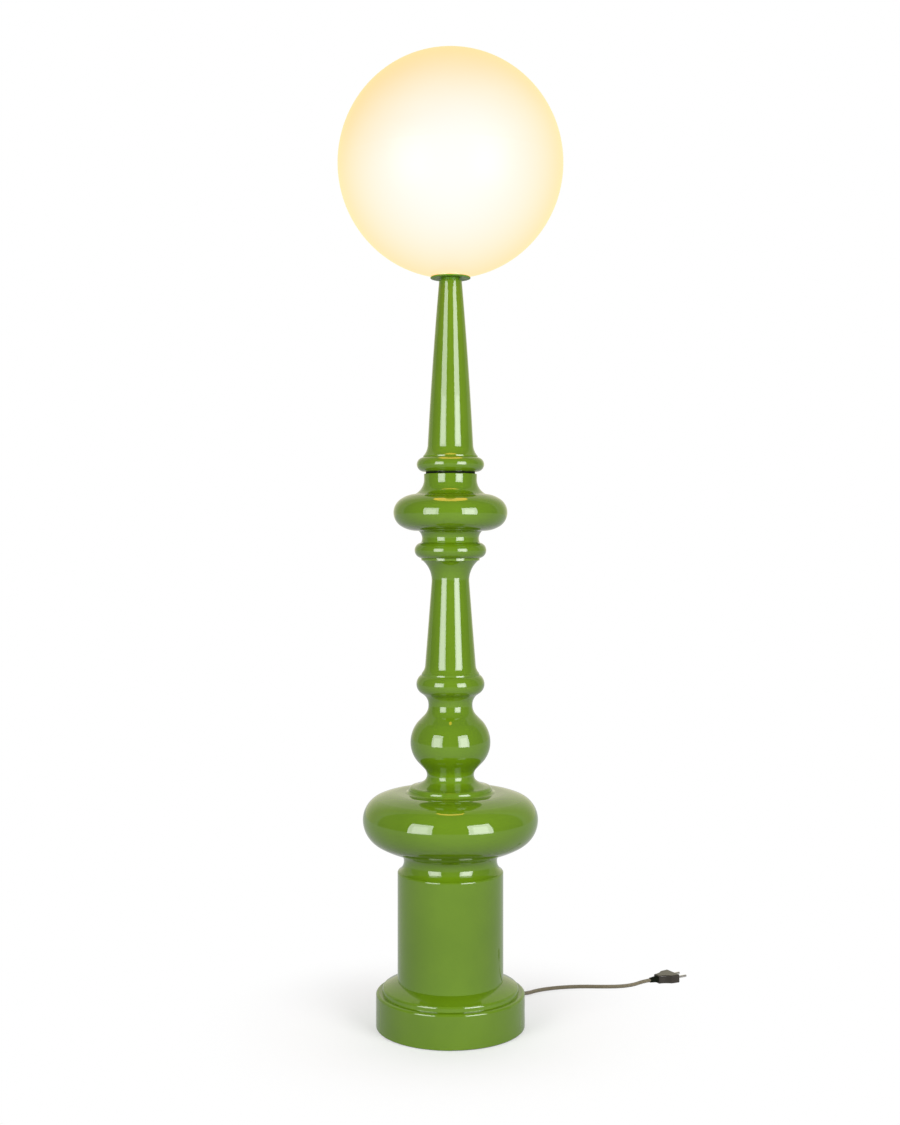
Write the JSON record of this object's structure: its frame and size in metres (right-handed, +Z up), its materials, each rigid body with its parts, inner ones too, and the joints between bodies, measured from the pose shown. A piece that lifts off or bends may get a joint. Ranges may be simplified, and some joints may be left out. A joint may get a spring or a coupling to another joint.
{
  "type": "floor lamp",
  "caption": "Free-standing floor lamp: a turned, baluster-like column of glazed ceramic segments carrying an opal glass globe, with textile cord, foot switch and plug.",
  "frame": {"origin": "on the floor, on the axis of the column", "axes": "+Z up the column, -Y to the front, +Y to the back where the cord leaves the plinth"},
  "size_m": [0.5788, 0.4253, 1.513],
  "materials": {
    "green_glaze": "high-gloss green glaze",
    "green_paint": "gloss green enamel",
    "opal_glass": "satin opal glass, lit warm from inside",
    "dark_rubber": "matt",
    "clear_silicone": "satin translucent",
    "white_plastic": "fine matt",
    "dark_plastic": "satin moulded",
    "zinc_steel": "zinc plated",
    "ballast_iron": "as cast",
    "felt": "pressed felt",
    "white_metal": "white enamel",
    "steatite": "unglazed steatite",
    "brass": "drawn",
    "nickel": "nickel plated",
    "bulb_opal": "opal, lit",
    "textile_cord": "two-tone braided textile sleeve",
    "lead_insulation": "silicone insulation",
    "tie_strap": "hook-and-loop strap"
  },
  "bodies": {
    "base": {"plinth": "green_glaze", "pedestal": "green_glaze", "torus": "green_glaze", "ball_baluster": "green_glaze", "shaft": "green_glaze", "cushion": "green_glaze", "spire": "green_glaze", "groove_ring": "dark_rubber", "neck_washer": "green_paint", "seat_disc": "green_paint", "joint_gaskets": "dark_rubber", "centring_bushes": "white_plastic", "central_tube": "zinc_steel", "ballast": "ballast_iron", "bottom_washer": "zinc_steel", "bottom_nut": "zinc_steel", "floor_pad": "felt", "base_plate": "zinc_steel", "plate_standoffs": "zinc_steel", "plate_screws": "zinc_steel", "globe_gallery": "white_metal", "glass_gasket": "clear_silicone", "top_nut": "zinc_steel", "lampholder_base": "white_plastic", "lampholder_shell": "white_plastic", "lampholder_core": "steatite", "screw_shell": "brass", "centre_contact": "brass", "terminal_screws": "brass", "cord_gland": "dark_plastic", "gland_nut": "dark_plastic", "strain_relief": "dark_rubber", "cord_tail": "textile_cord", "cord_clamp": "dark_plastic", "clamp_screws": "zinc_steel", "terminal_block": "white_plastic", "inner_leads": "lead_insulation", "cord_lead": "textile_cord", "cord_middle": "textile_cord", "cord_end": "textile_cord", "cord_coil": "textile_cord", "cord_ties": "tie_strap", "switch_lower_housing": "dark_plastic", "switch_upper_housing": "dark_plastic", "switch_spring": "zinc_steel", "switch_contacts": "brass", "switch_screws": "zinc_steel", "switch_reliefs": "dark_rubber", "plug_relief": "dark_rubber", "plug_body": "dark_plastic", "plug_pins": "nickel"},
    "globe": {"globe": "opal_glass"},
    "bulb_carrier": {"bulb_contact": "brass"},
    "bulb": {"bulb_insulator": "dark_plastic", "bulb_cap": "nickel", "bulb_neck": "white_plastic", "led_board": "white_metal", "bulb_dome": "bulb_opal"},
    "foot_button": {"switch_button": "dark_plastic"}
  },
  "joints": [
    {"name": "globe_lift", "type": "slide", "parent": "base", "child": "globe", "axis": [0, 0, 1], "range_m": [0, 0.14]},
    {"name": "bulb_rise", "type": "slide", "parent": "base", "child": "bulb_carrier", "axis": [0, 0, 1], "range_m": [0, 0.01814]},
    {"name": "bulb_turn", "type": "hinge", "parent": "bulb_carrier", "child": "bulb", "pos_m": [0, 0, 1.2133], "axis": [0, 0, 1], "range_deg": [0, 1800]},
    {"name": "switch_press", "type": "slide", "parent": "base", "child": "foot_button", "axis": [0, 0, -1], "range_m": [0, 0.0025], "stiffness_N_per_m": 600, "deforming": ["switch_spring"]}
  ],
  "couplings": [
    {"joint": "bulb_turn", "follows": "bulb_rise", "rad_per_m": 1731.3}
  ]
}
